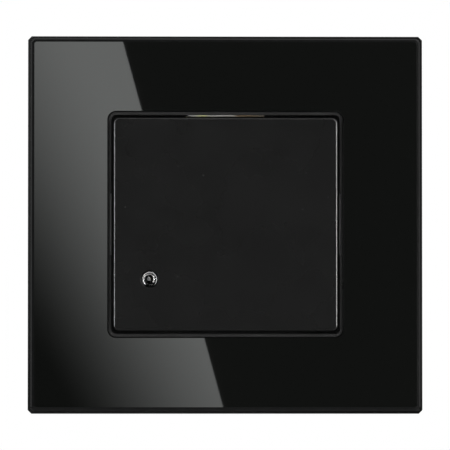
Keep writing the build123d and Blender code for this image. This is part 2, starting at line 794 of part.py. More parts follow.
def relay_yoke_piece():
    """Bent iron yoke with the coil's core riveted to it."""
    width = about(relay_z, relay_armature_width)
    upright = (coil_start - 0.2 - relay_yoke, coil_start - 0.2)
    yoke = block((upright[0], armature_x - 0.1), (yoke_front, yoke_back), width)
    yoke += block(upright, (yoke_front, coil_y + relay_coil_radius), width)
    return yoke + along_coil(relay_core_radius - 0.05, upright[0] + 0.1, core_end, coil_y)


def relay_armature_piece():
    """Hinged iron plate that the core pulls, with the moving contact at its free end."""
    width = about(relay_z, relay_armature_width)
    plate_x = (armature_x, armature_x + relay_armature)
    plate = block(plate_x, (yoke_front + 0.4, armature_end), width)
    button_start = armature_x - relay_contact_height
    return plate + along_coil(relay_contact_radius, button_start, armature_x + 0.1, contact_y)


def relay_contact():
    """Fixed contact: a blade beside the coil with an arm that reaches behind the armature's tip."""
    face = armature_x - relay_contact_height - relay_contact_gap
    blade_x = (face - relay_contact_height - relay_blade, face - relay_contact_height)
    side = relay_z - coil_flange_radius - 0.3
    upright = block(blade_x, (relay_base_back, armature_end), (side - relay_blade, side))
    arm_y = (contact_y - relay_contact_radius, armature_end)
    arm = block(blade_x, arm_y, (side - relay_blade, relay_z + relay_contact_radius))
    return upright + arm + along_coil(relay_contact_radius, blade_x[1] - 0.1, face, contact_y)


def transformer_core_piece():
    """Ferrite ring of the switching transformer, open to both sides of the winding."""
    y = (main_board_back + transformer_lift, main_board_back + transformer_height)
    thickness = about(transformer_z, transformer_length * 0.45)
    core = block(about(transformer_x, transformer_width), y, thickness)
    window_x = about(transformer_x, transformer_width - 2 * transformer_core)
    window_y = (y[0] + transformer_core, y[1] - transformer_core)
    return core - block(window_x, window_y, about(transformer_z, transformer_length))


def transformer_winding():
    """Taped winding on its bobbin, through the ferrite ring."""
    front = main_board_back + transformer_lift + transformer_core + 0.1
    back = main_board_back + transformer_height - transformer_core - 0.1
    width = transformer_width - 2 * transformer_core - 0.2
    length = about(transformer_z, transformer_length)
    winding = block(about(transformer_x, width), (front, back), length)
    return fillet(winding.edges().filter_by(Axis.Z), 0.8)


def transformer_feet():
    """Two bobbin feet between the winding and the board."""
    feet = []
    top = main_board_back + transformer_lift + transformer_core + 0.1
    for side in (-1, 1):
        foot_z = about(transformer_z + side * (transformer_length / 2 - transformer_foot), transformer_foot)
        feet.append(block(about(transformer_x, transformer_foot_width), (main_board_back, top), foot_z))
    return feet


def standing_can(radius, x, height):
    """Upright round capacitor on the main board."""
    return disc(radius, x, upper_row_z, main_board_back, main_board_back + height)


def filter_capacitors():
    """Two electrolytic capacitors."""
    return [
        standing_can(capacitor_radius, capacitor_x, capacitor_height),
        standing_can(small_capacitor_radius, small_capacitor_x, capacitor_height),
    ]


def suppressor_capacitor():
    """Boxed film capacitor across the mains."""
    depth = (main_board_back, main_board_back + suppressor_height)
    case = block(about(transformer_x, suppressor_length), depth, about(suppressor_z, suppressor_width))
    return fillet(case.edges().filter_by(Axis.Y), 0.6)


def fuse():
    """Round plug-in fuse."""
    return disc(fuse_radius, fuse_x, lower_row_z, main_board_back, main_board_back + fuse_height)


def varistor():
    """Disc varistor on edge, on its two legs."""
    centre = Pos(varistor_x, main_board_back + varistor_radius + 1.0, lower_row_z)
    body = centre * Rot(0, 90, 0) * Cylinder(varistor_radius, varistor_thickness)
    leg_x = about(varistor_x, varistor_leg)
    for side in (-1, 1):
        leg_z = about(lower_row_z + side * varistor_leg_pitch / 2, varistor_leg)
        body += block(leg_x, (main_board_back, main_board_back + 2.6), leg_z)
    return body


def choke():
    """Choke in a shrunk sleeve."""
    end = main_board_back + choke_height
    return disc(choke_radius, transformer_x, lower_row_z, main_board_back, end)


def write(name, piece):
    """Write one node; a list of pieces becomes one file with separate solids."""
    solids = piece if isinstance(piece, list) else [piece]
    bodies = [solid for one in solids for solid in one.solids()]
    export_step(bodies[0] if len(bodies) == 1 else Compound(bodies), f"parts/{name}.step")


os.makedirs("parts", exist_ok=True)
single_pieces = {
    "glass_panel": glass_panel,
    "glass_adhesive": glass_adhesive,
    "frame_carrier": frame_carrier,
    "cover_plate": cover_plate,
    "mounting_strap": mounting_strap,
    "cover_spring": cover_spring,
    "module_front": module_front,
    "module_housing": module_housing,
    "sensor_board": sensor_board,
    "main_board": main_board,
    "sensor_board_screws": sensor_board_screws,
    "main_board_screws": main_board_screws,
    "photo_sensor": photo_sensor,
    "photo_sensor_leads": photo_sensor_leads,
    "sensor_spacer": sensor_spacer,
    "trimmer_bodies": trimmer_bodies,
    "aerial_board": aerial_board,
    "aerial_parts": aerial_parts,
    "aerial_header": aerial_header,
    "board_link": board_link,
    "busbars": busbars,
    "relay_base": relay_base_piece,
    "relay_case": relay_case,
    "relay_coil": relay_coil,
    "relay_yoke": relay_yoke_piece,
    "relay_armature": relay_armature_piece,
    "relay_contact": relay_contact,
    "transformer_core": transformer_core_piece,
    "transformer_winding": transformer_winding,
    "transformer_feet": transformer_feet,
    "filter_capacitors": filter_capacitors,
    "suppressor_capacitor": suppressor_capacitor,
    "fuse": fuse,
    "varistor": varistor,
    "choke": choke,
}
for name, make in single_pieces.items():
    write(name, make())
for name, (x, z) in zip(trimmer_names, trimmer_places):
    write(f"trimmer_rotor_{name}", trimmer_rotor(x, z))
for name, x in zip(terminal_names, terminal_places):
    write(f"terminal_pole_{name}", terminal_pole(x))
    write(f"terminal_cage_{name}", terminal_cage(x))
    write(f"terminal_screw_{name}", terminal_screw(x))
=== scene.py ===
"""Finishes, small details, studio and camera for a flush motion sensor switch."""
import math

import bmesh
import bpy
import numpy as np
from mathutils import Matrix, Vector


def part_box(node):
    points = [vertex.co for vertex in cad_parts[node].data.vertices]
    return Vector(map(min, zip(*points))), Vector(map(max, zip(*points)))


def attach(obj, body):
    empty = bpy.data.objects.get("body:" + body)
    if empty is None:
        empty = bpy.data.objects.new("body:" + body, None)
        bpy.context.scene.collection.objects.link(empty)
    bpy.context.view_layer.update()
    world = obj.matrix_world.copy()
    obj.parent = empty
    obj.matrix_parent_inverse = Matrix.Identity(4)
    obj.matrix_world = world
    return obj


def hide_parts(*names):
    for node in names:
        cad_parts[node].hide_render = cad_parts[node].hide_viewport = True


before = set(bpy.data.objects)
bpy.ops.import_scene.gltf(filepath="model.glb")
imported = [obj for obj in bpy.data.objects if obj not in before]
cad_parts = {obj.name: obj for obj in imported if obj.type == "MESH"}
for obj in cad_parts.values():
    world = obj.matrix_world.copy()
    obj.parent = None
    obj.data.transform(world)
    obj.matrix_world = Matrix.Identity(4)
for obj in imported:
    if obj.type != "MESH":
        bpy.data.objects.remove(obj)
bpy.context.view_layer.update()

bl_info = {
    "name": "Motion sensor switch",
    "version": (1, 0, 0),
    "blender": (4, 5, 0),
    "location": "View3D > Sidebar > Switch",
    "description": "Dresses the switch model and sets up its studio",
    "category": "Object",
}

MM = 0.001
# The plane at the plate's face from which the distances of the camera and the lit card are measured.
VIEW_Y = -0.010


def linear(hex_colour):
    """Linear RGBA of an sRGB colour written as 0xRRGGBB."""
    parts = [((hex_colour >> shift) & 255) / 255 for shift in (16, 8, 0)]
    return [p / 12.92 if p <= 0.04045 else ((p + 0.055) / 1.055) ** 2.4 for p in parts] + [1.0]


def cells(size):
    """Texture scale that gives a pattern whose cells are size millimetres wide."""
    return 1 / (size * MM)


def add(tree, kind, inputs=None, **settings):
    """Add a node, set its properties, and give its inputs a value or a link from another node."""
    node = tree.nodes.new(kind)
    for name, value in settings.items():
        setattr(node, name, value)
    for name, value in (inputs or {}).items():
        if isinstance(value, bpy.types.NodeSocket):
            tree.links.new(value, node.inputs[name])
        else:
            node.inputs[name].default_value = value
    return node


def start(name, colour, roughness, metallic=0.0, **sockets):
    """A new material with one shader, and the tree, shader and object coordinates to build on."""
    material = bpy.data.materials.new(name)
    material.use_nodes = True
    tree = material.node_tree
    tree.nodes.clear()
    shader = add(tree, "ShaderNodeBsdfPrincipled", {
        "Base Color": colour, "Roughness": roughness, "Metallic": metallic,
        **{socket.replace("_", " "): value for socket, value in sockets.items()},
    })
    add(tree, "ShaderNodeOutputMaterial", {"Surface": shader.outputs["BSDF"]})
    place = add(tree, "ShaderNodeTexCoord").outputs["Object"]
    return material, tree, shader, place


def shades(tree, vector, size, dark, light):
    """Soft patches of two colours, size millimetres wide."""
    noise = add(tree, "ShaderNodeTexNoise", {"Vector": vector, "Scale": cells(size), "Detail": 3.0})
    spread = add(tree, "ShaderNodeMapRange", {
        "Value": noise.outputs["Fac"], "From Min": 0.35, "From Max": 0.65,
    })
    mix = add(tree, "ShaderNodeMix", {0: spread.outputs["Result"], 6: dark, 7: light}, data_type="RGBA")
    return mix.outputs[2]


def levels(tree, vector, size, lowest, highest):
    """Soft patches of a number between two levels, size millimetres wide."""
    noise = add(tree, "ShaderNodeTexNoise", {"Vector": vector, "Scale": cells(size), "Detail": 3.0})
    spread = add(tree, "ShaderNodeMapRange", {
        "Value": noise.outputs["Fac"], "From Min": 0.3, "From Max": 0.7,
        "To Min": lowest, "To Max": highest,
    })
    return spread.outputs["Result"]


def relief(tree, shader, height, depth):
    """Bump of depth millimetres from a height between 0 and 1."""
    bump = add(tree, "ShaderNodeBump", {"Height": height, "Distance": depth * MM})
    tree.links.new(bump.outputs["Normal"], shader.inputs["Normal"])


def specks(tree, vector, spacing, radius, share):
    """1 inside round specks, one for a share of the cells, elsewhere 0; sizes in millimetres."""
    dots = add(tree, "ShaderNodeTexVoronoi", {"Vector": vector, "Scale": cells(spacing)})
    near = add(tree, "ShaderNodeMapRange", {
        "Value": dots.outputs["Distance"], "From Min": radius / spacing, "From Max": 0.4 * radius / spacing,
    })
    pick = add(tree, "ShaderNodeSeparateColor", {"Color": dots.outputs["Color"]})
    few = add(tree, "ShaderNodeMath", {0: pick.outputs["Red"], 1: share}, operation="LESS_THAN")
    both = add(tree, "ShaderNodeMath", {
        0: near.outputs["Result"], 1: few.outputs["Value"],
    }, operation="MULTIPLY")
    return both.outputs["Value"]


def set_stops(ramp, stops):
    """Give a colour ramp its stops: each is a position and an sRGB colour."""
    elements = ramp.color_ramp.elements
    while len(elements) < len(stops):
        elements.new(0.5)
    for element, (position, colour) in zip(elements, stops):
        element.position = position
        element.color = linear(colour)


def back_painted_glass(looks):
    """Tempered float glass, painted black behind: the face is a dark mirror, the ground bevel is duller."""
    mirror, ground_gloss = 0.008, 0.08
    material, tree, shader, place = start("back_painted_glass", looks.glass, mirror, IOR=1.52)
    facing = add(tree, "ShaderNodeTexCoord").outputs["Normal"]
    split = add(tree, "ShaderNodeSeparateXYZ", {"Vector": facing})
    bevel = add(tree, "ShaderNodeMapRange", {
        "Value": split.outputs["Y"], "From Min": -0.98, "From Max": -0.9,
    }).outputs["Result"]
    ground = shades(tree, place, 2.5, looks.glass_edge, linear(0x0D0E0E))
    colour = add(tree, "ShaderNodeMix", {0: bevel, 6: looks.glass, 7: ground}, data_type="RGBA")
    tree.links.new(colour.outputs[2], shader.inputs["Base Color"])
    gloss = add(tree, "ShaderNodeMapRange", {"Value": bevel, "To Min": mirror, "To Max": ground_gloss})
    tree.links.new(gloss.outputs["Result"], shader.inputs["Roughness"])
    return material


def satin_abs(looks):
    """ABS from a finely spark-eroded mould: satin black with a tight grain, and a little dust on it."""
    material, tree, shader, place = start("satin_black_abs", looks.moulding, 0.33, IOR=1.53)
    dust = specks(tree, place, 5.5, 0.28, 0.22)
    ground = shades(tree, place, 9.0, looks.moulding, linear(0x101010))
    colour = add(tree, "ShaderNodeMix", {0: dust, 6: ground, 7: linear(0x303030)}, data_type="RGBA")
    tree.links.new(colour.outputs[2], shader.inputs["Base Color"])
    grain = add(tree, "ShaderNodeTexNoise", {"Vector": place, "Scale": cells(0.16), "Detail": 2.0})
    relief(tree, shader, grain.outputs["Fac"], 0.008)
    tree.links.new(levels(tree, place, 14.0, 0.25, 0.30), shader.inputs["Roughness"])
    return material


def plain_abs(looks):
    """ABS from a polished mould: smoother and slightly glossier black, with faint flow marks. The tray's
    outer rim, beyond the glass, is glossier and painted near black, a painted shade for the deep shadow
    behind the glass edge, and the small ledge in the lip's two side reliefs is painted pale, a painted
    highlight for the glints it catches."""
    ledge_front, ledge_back, half_ledge = -8.2 * MM, -7.5 * MM, 6.8 * MM
    material, tree, shader, place = start("moulded_black_abs", looks.moulding, 0.32, IOR=1.53)
    inside = shades(tree, place, 6.0, linear(0x202020), linear(0x272727))
    from_middle = add(tree, "ShaderNodeVectorMath", {0: place}, operation="ABSOLUTE")
    sides = add(tree, "ShaderNodeSeparateXYZ", {"Vector": from_middle.outputs["Vector"]})
    half_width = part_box("glass_panel")[1].x
    half_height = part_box("glass_panel")[1].z
    beyond_x = add(tree, "ShaderNodeMath", {
        0: sides.outputs["X"], 1: half_width,
    }, operation="GREATER_THAN")
    beyond_z = add(tree, "ShaderNodeMath", {
        0: sides.outputs["Z"], 1: half_height,
    }, operation="GREATER_THAN")
    painted_shade_rim = add(tree, "ShaderNodeMath", {
        0: beyond_x.outputs["Value"], 1: beyond_z.outputs["Value"],
    }, operation="MAXIMUM").outputs["Value"]
    # The rim beyond the glass is painted near black: painted shade for the deep shadow behind the glass
    # edge.
    body = add(tree, "ShaderNodeMix", {0: painted_shade_rim, 6: inside, 7: linear(0x050505)}, data_type="RGBA")
    normal = add(tree, "ShaderNodeTexCoord").outputs["Normal"]
    facing = add(tree, "ShaderNodeSeparateXYZ", {"Vector": normal})
    depth = add(tree, "ShaderNodeSeparateXYZ", {"Vector": place}).outputs["Y"]
    limits = [
        (facing.outputs["Y"], -0.9, "LESS_THAN"), (depth, ledge_front, "GREATER_THAN"),
        (depth, ledge_back, "LESS_THAN"), (sides.outputs["Z"], half_ledge, "LESS_THAN"),
    ]
    ledge = 1.0
    for value, limit, side in limits:
        within = add(tree, "ShaderNodeMath", {0: value, 1: limit}, operation=side).outputs["Value"]
        ledge = add(tree, "ShaderNodeMath", {0: ledge, 1: within}, operation="MULTIPLY").outputs["Value"]
    # The relief ledge is painted pale grey: a painted highlight for the glints it catches.
    colour = add(tree, "ShaderNodeMix", {
        0: ledge, 6: body.outputs[2], 7: linear(0xA0A0A0),
    }, data_type="RGBA")
    tree.links.new(colour.outputs[2], shader.inputs["Base Color"])
    gloss = add(tree, "ShaderNodeMix", {0: painted_shade_rim, 2: levels(tree, place, 5.0, 0.27, 0.38), 3: 0.18})
    tree.links.new(gloss.outputs[0], shader.inputs["Roughness"])
    flow = add(tree, "ShaderNodeTexNoise", {"Vector": place, "Scale": cells(1.6), "Detail": 3.0})
    relief(tree, shader, flow.outputs["Fac"], 0.01)
    return material


def foam():
    """Closed-cell foam tape: matt black, with cells a few tenths of a millimetre wide."""
    material, tree, shader, place = start("closed_cell_foam", linear(0x151515), 0.9)
    pores = add(tree, "ShaderNodeTexVoronoi", {"Vector": place, "Scale": cells(0.25)})
    relief(tree, shader, pores.outputs["Distance"], 0.08)
    patches = shades(tree, place, 0.4, linear(0x0C0C0C), linear(0x222222))
    tree.links.new(patches, shader.inputs["Base Color"])
    return material


def moulded_grain(name, colour, other, roughness, grain, depth):
    """A moulded thermoplastic: even colour with faint cloudiness, and a mould grain in millimetres."""
    material, tree, shader, place = start(name, colour, roughness)
    tree.links.new(shades(tree, place, 7.0, colour, other), shader.inputs["Base Color"])
    tree.links.new(levels(tree, place, 3.0, roughness - 0.06, roughness + 0.06), shader.inputs["Roughness"])
    texture = add(tree, "ShaderNodeTexNoise", {"Vector": place, "Scale": cells(grain), "Detail": 2.0})
    relief(tree, shader, texture.outputs["Fac"], depth)
    return material


def yellow_zinc(looks):
    """Steel with zinc plate and yellow passivation: pale gold with patches of green and rose."""
    material, tree, shader, place = start("yellow_zinc_plate", looks.zinc, 0.33, metallic=1.0)
    film = add(tree, "ShaderNodeTexNoise", {"Vector": place, "Scale": cells(7.0), "Detail": 4.0})
    ramp = add(tree, "ShaderNodeValToRGB", {"Fac": film.outputs["Fac"]})
    set_stops(ramp, [
        (0.30, 0x9DA06A), (0.44, 0xC9B884), (0.54, 0xD9D2B4), (0.64, 0xC79A6A), (0.74, 0xA9A37C),
    ])
    tint = add(tree, "ShaderNodeMix", {0: 0.65, 6: looks.zinc, 7: ramp.outputs["Color"]}, data_type="RGBA")
    tree.links.new(tint.outputs[2], shader.inputs["Base Color"])
    tree.links.new(levels(tree, place, 1.5, 0.26, 0.42), shader.inputs["Roughness"])
    rolled = add(tree, "ShaderNodeMapping", {"Vector": place, "Scale": (1.0, 1.0, 12.0)})
    lines = add(tree, "ShaderNodeTexNoise", {
        "Vector": rolled.outputs["Vector"], "Scale": cells(2.4), "Detail": 2.0,
    })
    relief(tree, shader, lines.outputs["Fac"], 0.006)
    return material


def spring_zinc(looks):
    """The same zinc plate on the leaf spring, dull yellow on its faces. Its cut front edge is near white,
    with a yellow-green patch left of the middle and a brown one at the right end, where the passivation
    ran thicker."""
    edge_plane, half_length, plating = -8.0 * MM, 8.4 * MM, 0.35
    material, tree, shader, place = start("yellow_zinc_spring", looks.zinc, 0.4, metallic=plating)
    along = add(tree, "ShaderNodeSeparateXYZ", {"Vector": place})
    normal = add(tree, "ShaderNodeTexCoord").outputs["Normal"]
    facing = add(tree, "ShaderNodeSeparateXYZ", {"Vector": normal})
    forward = add(tree, "ShaderNodeMath", {0: facing.outputs["Y"], 1: -0.5}, operation="LESS_THAN")
    in_front = add(tree, "ShaderNodeMath", {0: along.outputs["Y"], 1: edge_plane}, operation="LESS_THAN")
    edge = add(tree, "ShaderNodeMath", {
        0: forward.outputs["Value"], 1: in_front.outputs["Value"],
    }, operation="MULTIPLY").outputs["Value"]
    uneven = levels(tree, place, 1.2, -0.35 * MM, 0.35 * MM)
    shifted = add(tree, "ShaderNodeMath", {0: along.outputs["X"], 1: uneven}, operation="ADD")
    length = add(tree, "ShaderNodeMapRange", {
        "Value": shifted.outputs["Value"], "From Min": -half_length, "From Max": half_length,
    })
    ramp = add(tree, "ShaderNodeValToRGB", {"Fac": length.outputs["Result"]})
    set_stops(ramp, [
        (0.03, 0xB4B4B2), (0.10, 0xC8C8C4), (0.15, 0xE4E8B4), (0.21, 0xDCE09A), (0.28, 0xCCCCC8),
        (0.61, 0xC8C6C0), (0.66, 0x806C54), (0.80, 0x86745C), (0.97, 0x746E64),
    ])
    colour = add(tree, "ShaderNodeMix", {
        0: edge, 6: linear(0x8E8662), 7: ramp.outputs["Color"],
    }, data_type="RGBA")
    tree.links.new(colour.outputs[2], shader.inputs["Base Color"])
    gloss = add(tree, "ShaderNodeMix", {0: edge, 2: 0.6, 3: levels(tree, place, 0.8, 0.34, 0.46)})
    tree.links.new(gloss.outputs[0], shader.inputs["Roughness"])
    plated = add(tree, "ShaderNodeMapRange", {"Value": edge, "To Max": plating})
    tree.links.new(plated.outputs["Result"], shader.inputs["Metallic"])
    marks = add(tree, "ShaderNodeTexNoise", {"Vector": place, "Scale": cells(0.5), "Detail": 2.0})
    relief(tree, shader, marks.outputs["Fac"], 0.01)
    return material


def metal(name, colour, other, roughness, streak, depth, stretch=(1.0, 1.0, 1.0)):
    """Bare or plated metal: two close tints, uneven gloss, and tool marks streak millimetres wide, which
    are finer along an axis by its number in stretch."""
    material, tree, shader, place = start(name, colour, roughness, metallic=1.0)
    tree.links.new(shades(tree, place, 1.8, colour, other), shader.inputs["Base Color"])
    tree.links.new(levels(tree, place, 0.8, roughness - 0.08, roughness + 0.1), shader.inputs["Roughness"])
    stretched = add(tree, "ShaderNodeMapping", {"Vector": place, "Scale": stretch})
    marks = add(tree, "ShaderNodeTexNoise", {
        "Vector": stretched.outputs["Vector"], "Scale": cells(streak), "Detail": 2.0,
    })
    relief(tree, shader, marks.outputs["Fac"], depth)
    return material


def circuit_board(looks):
    """Glass-fibre laminate under green solder mask: copper tracks show as paler, raised bands. They run
    where a point is about as far from one land as from the next."""
    material, tree, shader, place = start("solder_mask_laminate", looks.laminate, 0.28, IOR=1.5)
    nearest, second = (
        add(tree, "ShaderNodeTexVoronoi", {
            "Vector": place, "Scale": cells(3.4), "Randomness": 0.35,
        }, distance="CHEBYCHEV", feature=feature).outputs["Distance"]
        for feature in ("F1", "F2")
    )
    gap = add(tree, "ShaderNodeMath", {0: second, 1: nearest}, operation="SUBTRACT")
    band = add(tree, "ShaderNodeMapRange", {
        "Value": gap.outputs["Value"], "From Min": 0.2, "From Max": 0.14,
    }).outputs["Result"]
    ground = shades(tree, place, 0.7, looks.laminate, linear(0x0F3D22))
    colour = add(tree, "ShaderNodeMix", {0: band, 6: ground, 7: linear(0x2A6B3A)}, data_type="RGBA")
    tree.links.new(colour.outputs[2], shader.inputs["Base Color"])
    relief(tree, shader, band, 0.03)
    return material


def clear_epoxy():
    """Water-clear cast epoxy: a small solid lens, smooth as its mould."""
    material, tree, shader, place = start(
        "clear_cast_epoxy", linear(0xF4F6F5), 0.03, IOR=1.54, Transmission_Weight=1.0)
    haze = levels(tree, place, 0.6, 0.02, 0.06)
    tree.links.new(haze, shader.inputs["Roughness"])
    return material


def wound_copper():
    """Enamelled copper wire in close turns 0.12 mm apart, drawn 0.3 mm apart so that they show."""
    turn = 2 * math.pi * cells(0.3)
    material, tree, shader, place = start("enamelled_copper_wire", linear(0xA8552B), 0.3, metallic=1.0)
    split = add(tree, "ShaderNodeSeparateXYZ", {"Vector": place})
    phase = add(tree, "ShaderNodeMath", {0: split.outputs["Z"], 1: turn}, operation="MULTIPLY")
    turns = add(tree, "ShaderNodeMath", {0: phase.outputs["Value"]}, operation="SINE")
    height = add(tree, "ShaderNodeMapRange", {
        "Value": turns.outputs["Value"], "From Min": -1.0, "From Max": 1.0,
    })
    relief(tree, shader, height.outputs["Result"], 0.08)
    enamel = shades(tree, place, 0.9, linear(0x8F4322), linear(0xC06A38))
    tree.links.new(enamel, shader.inputs["Base Color"])
    return material


def can_sleeve():
    """Shrink sleeve on an aluminium can: glossy near-black film with faint wrinkles."""
    material, tree, shader, place = start("pvc_shrink_sleeve", linear(0x14161F), 0.22, IOR=1.53)
    film = shades(tree, place, 2.0, linear(0x10121A), linear(0x1D2030))
    tree.links.new(film, shader.inputs["Base Color"])
    wrinkle = add(tree, "ShaderNodeTexNoise", {"Vector": place, "Scale": cells(1.2), "Detail": 2.0})
    relief(tree, shader, wrinkle.outputs["Fac"], 0.03)
    return material


def painted_highlight_silver():
    """Pale, soft silver wire: a painted highlight, paler and less glossy than plain silver, so that the
    rings stand in for the bright rings of the clear lens.
    """
    material, tree, shader, place = start("painted_highlight_wire", linear(0xF0F0F0), 0.55, metallic=0.5)
    plate = shades(tree, place, 0.5, linear(0xD0D0D0), linear(0xF4F4F4))
    tree.links.new(plate, shader.inputs["Base Color"])
    return material


def silicon():
    """A sawn silicon chip: smooth, with patches of dark silicon and pale metal 0.14 mm wide."""
    material, tree, shader, place = start("silicon_chip", linear(0x55585F), 0.15, IOR=1.6)
    patches = shades(tree, place, 0.14, linear(0x6A6C72), linear(0xC8C8CC))
    tree.links.new(patches, shader.inputs["Base Color"])
    return material


def make_materials(looks):
    """Every finish by name, each made once."""
    return {
        "glass": back_painted_glass(looks),
        "satin_abs": satin_abs(looks),
        "plain_abs": plain_abs(looks),
        "foam": foam(),
        # Polycarbonate from a textured mould: even grey with a soft sheen.
        "housing": moulded_grain(
            "moulded_grey_polycarbonate", looks.housing, linear(0x55575A), 0.5, 0.3, 0.02),
        # Glass-filled polyamide: matt black with a dry look.
        "polyamide": moulded_grain(
            "moulded_black_polyamide", linear(0x2A2A2B), linear(0x333334), 0.55, 0.25, 0.02),
        "yellow_zinc": yellow_zinc(looks),
        "spring_zinc": spring_zinc(looks),
        # Zinc plate with clear passivation: bright silver, slightly blue.
        "bright_zinc": metal("bright_zinc_plate", linear(0xC6C8CC), linear(0xB2B6BE), 0.28, 0.4, 0.01),
        # Plated tin, as the leads leave the bath: a dull, clouded silver.
        "tin": metal("dull_tin_plate", linear(0xBFBFC0), linear(0xA9AAAC), 0.34, 0.3, 0.008),
        "board": circuit_board(looks),
        "epoxy": clear_epoxy(),
        # Epoxy moulded round parts: near black, with a fine matt grain.
        "black_resin": moulded_grain(
            "black_moulding_resin", linear(0x1B1B1C), linear(0x262627), 0.45, 0.2, 0.015),
        # PBT from a polished mould: clean blue with a soft gloss.
        "blue_case": moulded_grain("blue_pbt", linear(0x20509B), linear(0x2A5CA8), 0.36, 0.3, 0.01),
        # Unfilled polyamide: a warm, slightly waxy white.
        "white_case": moulded_grain("white_polyamide", linear(0xD9D6CC), linear(0xE4E1D8), 0.45, 0.3, 0.01),
        # Brass stamped from rolled strip: golden, with fine lines across the depth of the box.
        "brass": metal(
            "stamped_brass", linear(0xC9A35A), linear(0xD8B873), 0.26, 0.5, 0.008, (1.0, 6.0, 1.0)),
        "copper": wound_copper(),
        # Iron after annealing: dull grey, with no polish left.
        "iron": metal("annealed_soft_iron", linear(0x8E8E8F), linear(0x7A7B7D), 0.42, 0.35, 0.012),
        # Pressed and sintered ferrite: charcoal, matt like slate.
        "ferrite": moulded_grain("sintered_ferrite", linear(0x33343A), linear(0x43444A), 0.62, 0.22, 0.05),
        # Polyester tape wound over the coil: glossy yellow with soft ripples.
        "tape": moulded_grain("yellow_polyester_tape", linear(0xD2A21E), linear(0xDFB236), 0.2, 2.2, 0.03),
        "sleeve": can_sleeve(),
        # PBT box filled with resin: mustard yellow with a soft gloss.
        "film_box": moulded_grain("yellow_pbt_box", linear(0xC99B24), linear(0xD6AA36), 0.36, 0.3, 0.01),
        # Silver plate on stamped steel: bright and clean, with faint lines.
        "silver": metal("silver_plated_lead_frame", linear(0xE6E6E8), linear(0xCFCFD3), 0.4, 0.2, 0.004),
        "painted_highlight_silver": painted_highlight_silver(),
        "silicon": silicon(),
        # Drawn gold wire: smooth, warm and bright.
        "gold": metal("gold_bond_wire", linear(0xE8C878), linear(0xF0D8A0), 0.2, 0.2, 0.002),
    }


# The modelled pieces that have each finish. The finishes left out are for the pieces made below.
FINISHES = {
    "glass": ["glass_panel"],
    "foam": ["glass_adhesive"],
    "satin_abs": ["cover_plate"],
    "plain_abs": ["frame_carrier", "module_front", "sensor_spacer"],
    "housing": ["module_housing"],
    "polyamide": ["terminal_pole_live", "terminal_pole_neutral", "terminal_pole_load"],
    "yellow_zinc": ["mounting_strap"],
    "spring_zinc": ["cover_spring"],
    "bright_zinc": [
        "sensor_board_screws", "main_board_screws", "terminal_screw_live", "terminal_screw_neutral",
        "terminal_screw_load",
    ],
    "tin": ["photo_sensor_leads", "board_link"],
    "board": ["sensor_board", "main_board", "aerial_board"],
    "epoxy": ["photo_sensor"],
    "black_resin": ["aerial_parts", "aerial_header", "relay_base", "fuse", "choke"],
    "blue_case": ["trimmer_bodies", "relay_case", "varistor"],
    "white_case": [
        "trimmer_rotor_delay", "trimmer_rotor_light", "trimmer_rotor_range", "transformer_feet",
    ],
    "brass": [
        "busbars", "terminal_cage_live", "terminal_cage_neutral", "terminal_cage_load", "relay_contact",
    ],
    "copper": ["relay_coil"],
    "iron": ["relay_yoke", "relay_armature"],
    "ferrite": ["transformer_core"],
    "tape": ["transformer_winding"],
    "sleeve": ["filter_capacitors"],
    "film_box": ["suppressor_capacitor"],
}


def closed_mesh(name, shells, material, body):
    """One mesh of closed shells. Each shell is rings of points, (rings, points, xyz) in metres; the rings
    are joined by quads and the first and last are capped. Normals are turned outwards."""
    points, faces, offset = [], [], 0
    for rings in shells:
        count, around = rings.shape[:2]
        index = np.arange(count * around).reshape(count, around) + offset
        after = np.roll(index, -1, axis=1)
        quads = np.stack([index[:-1], after[:-1], after[1:], index[1:]], axis=-1).reshape(-1, 4)
        faces += quads.tolist() + [index[0].tolist()[::-1], index[-1].tolist()]
        points.append(rings.reshape(-1, 3))
        offset += count * around
    mesh = bpy.data.meshes.new(name)
    mesh.from_pydata(np.concatenate(points).tolist(), [], faces)
    work = bmesh.new()
    work.from_mesh(mesh)
    bmesh.ops.recalc_face_normals(work, faces=work.faces)
    work.to_mesh(mesh)
    work.free()
    mesh.polygons.foreach_set("use_smooth", np.ones(len(mesh.polygons), bool))
    mesh.set_sharp_from_angle(angle=math.radians(35))
    mesh.materials.append(material)
    piece = bpy.data.objects.new(name, mesh)
    bpy.context.scene.collection.objects.link(piece)
    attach(piece, body)
    return piece


def turned(centre, radii, depths, sides=32):
    """Rings of a shape turned about a line along Y: ring i has radius radii[i] at y = depths[i], in mm."""
    angle = np.linspace(0, 2 * np.pi, sides, endpoint=False)
    radii = np.asarray(radii, float)[:, None]
    depths = np.asarray(depths, float)[:, None]
    x = centre[0] + radii * np.cos(angle)
    z = centre[1] + radii * np.sin(angle)
    y = np.broadcast_to(depths, x.shape)
    return np.stack([x, y, z], axis=-1) * MM


def rounded_steps(steps, back, bends):
    """Radii and depths of a turned, stepped front in mm. Each step, from the widest, is its radius, the
    depth of its front and the radius of the quarter circle that rounds its rim."""
    radii, depths = [steps[0][0]], [back]
    quarter = np.linspace(0, np.pi / 2, bends)
    for radius, front, rounding in steps:
        radii += list(radius - rounding * (1 - np.cos(quarter)))
        depths += list(front + rounding * (1 - np.sin(quarter)))
        following = [step for step in steps if step[0] < radius]
        if following:
            radii.append(following[0][0])
            depths.append(front)
    return radii + [0.02], depths + [steps[-1][1]]


def wire(path, radius, across, sides=12):
    """Rings of a round wire along a path in mm: circles square to the path, shrunk at both ends.
    The path never runs along the direction across."""
    path = np.asarray(path, float)
    along = np.gradient(path, axis=0)
    along /= np.linalg.norm(along, axis=1, keepdims=True)
    up = np.cross(along, across)
    up /= np.linalg.norm(up, axis=1, keepdims=True)
    side = np.cross(along, up)
    angle = np.linspace(0, 2 * np.pi, sides, endpoint=False)
    size = np.full(len(path), radius)
    size[[0, -1]] = radius * 0.5
    circle = np.cos(angle)[None, :, None] * up[:, None] + np.sin(angle)[None, :, None] * side[:, None]
    return (path[:, None] + size[:, None, None] * circle) * MM


